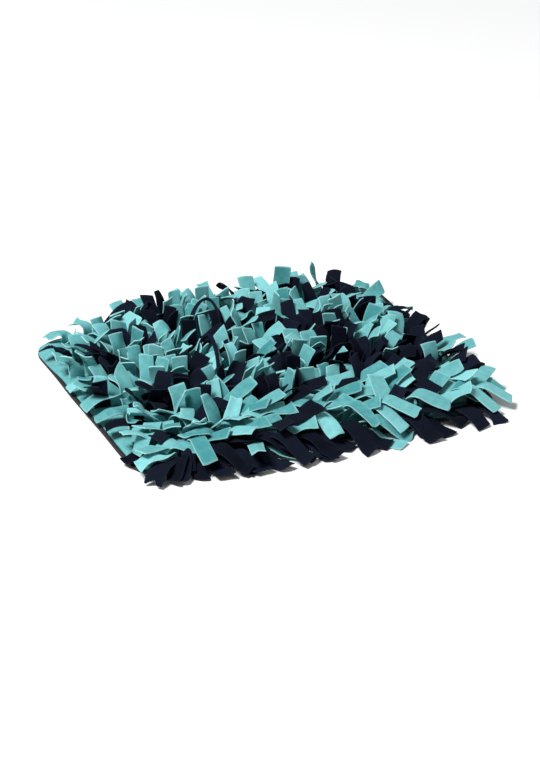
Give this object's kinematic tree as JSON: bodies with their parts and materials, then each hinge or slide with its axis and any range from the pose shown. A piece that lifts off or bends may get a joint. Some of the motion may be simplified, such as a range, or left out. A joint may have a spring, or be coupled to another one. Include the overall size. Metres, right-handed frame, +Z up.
{
  "type": "snuffle mat",
  "caption": "Flat fleece snuffle mat for a dog or cat: a bound black backing, a mint fleece ground and sewn rows of navy and mint fleece strips that stand, lean and droop over the front edge.",
  "frame": {"origin": "middle of the mat's underside", "axes": "+X along the front edge, -Y towards the front edge, +Z up through the pile"},
  "size_m": [0.5393, 0.4968, 0.0645],
  "materials": {
    "mint_fleece": "matt napped fleece",
    "navy_fleece": "matt napped fleece",
    "black_backing": "matt woven cloth",
    "black_binding": "ribbed woven tape"
  },
  "bodies": {
    "root": {"backing": "black_backing", "binding": "black_binding", "fleece_ground": "mint_fleece", "strip_row_1": "navy_fleece", "strip_row_2": "mint_fleece", "strip_row_3": "mint_fleece", "strip_row_4": "navy_fleece", "strip_row_5": "mint_fleece", "strip_row_6": "navy_fleece", "strip_row_7": "mint_fleece", "strip_row_8": "navy_fleece", "strip_row_9": "mint_fleece"}
  },
  "joints": []
}
